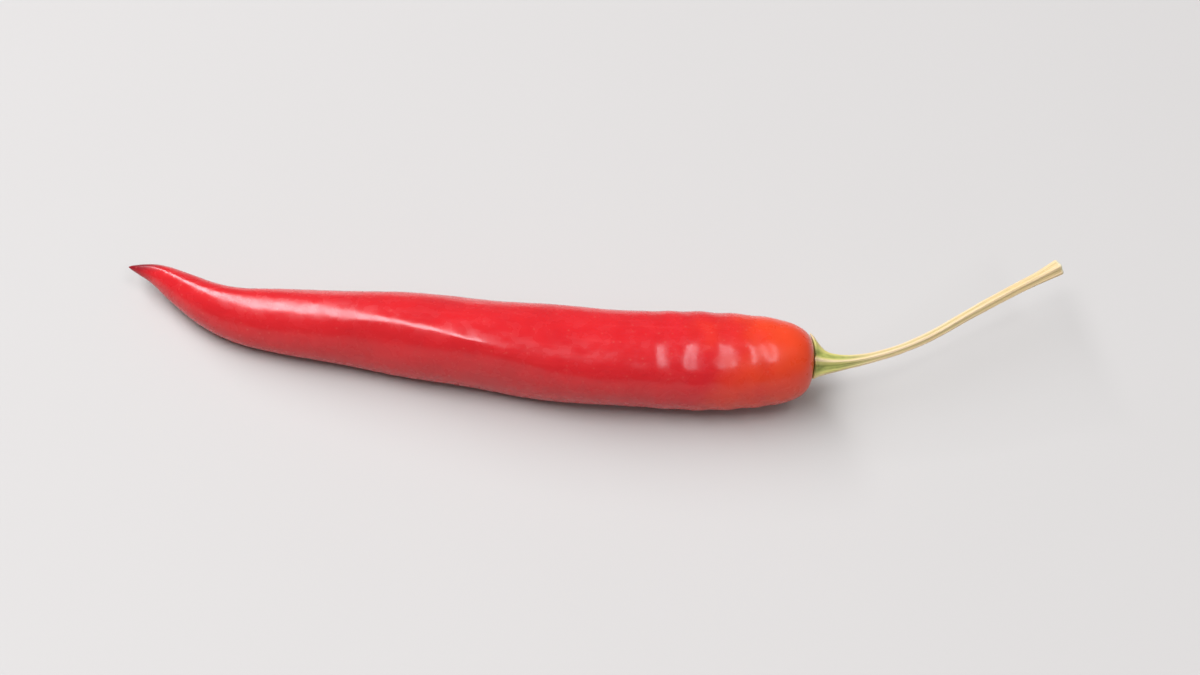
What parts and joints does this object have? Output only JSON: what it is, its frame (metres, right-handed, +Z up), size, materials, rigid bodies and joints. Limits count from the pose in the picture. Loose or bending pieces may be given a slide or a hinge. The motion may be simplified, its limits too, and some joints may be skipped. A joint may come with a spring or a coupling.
{
  "type": "chili pepper",
  "caption": "Slim red chili pepper, as picked, lying on its side: a smooth bowed pod with a fine tip, and a green toothed calyx with a thin curved stalk.",
  "frame": {"origin": "on the surface that the pod lies on, under the middle of the whole object's box", "axes": "+X from the pod's tip towards the stalk, +Y to the side that the tip and the stalk bend to, +Z up"},
  "size_m": [0.1462, 0.036, 0.0148],
  "materials": {
    "pod_skin": "gloss",
    "calyx_green": "matte"
  },
  "bodies": {
    "root": {"pod": "pod_skin", "calyx_stem": "calyx_green"}
  },
  "joints": []
}
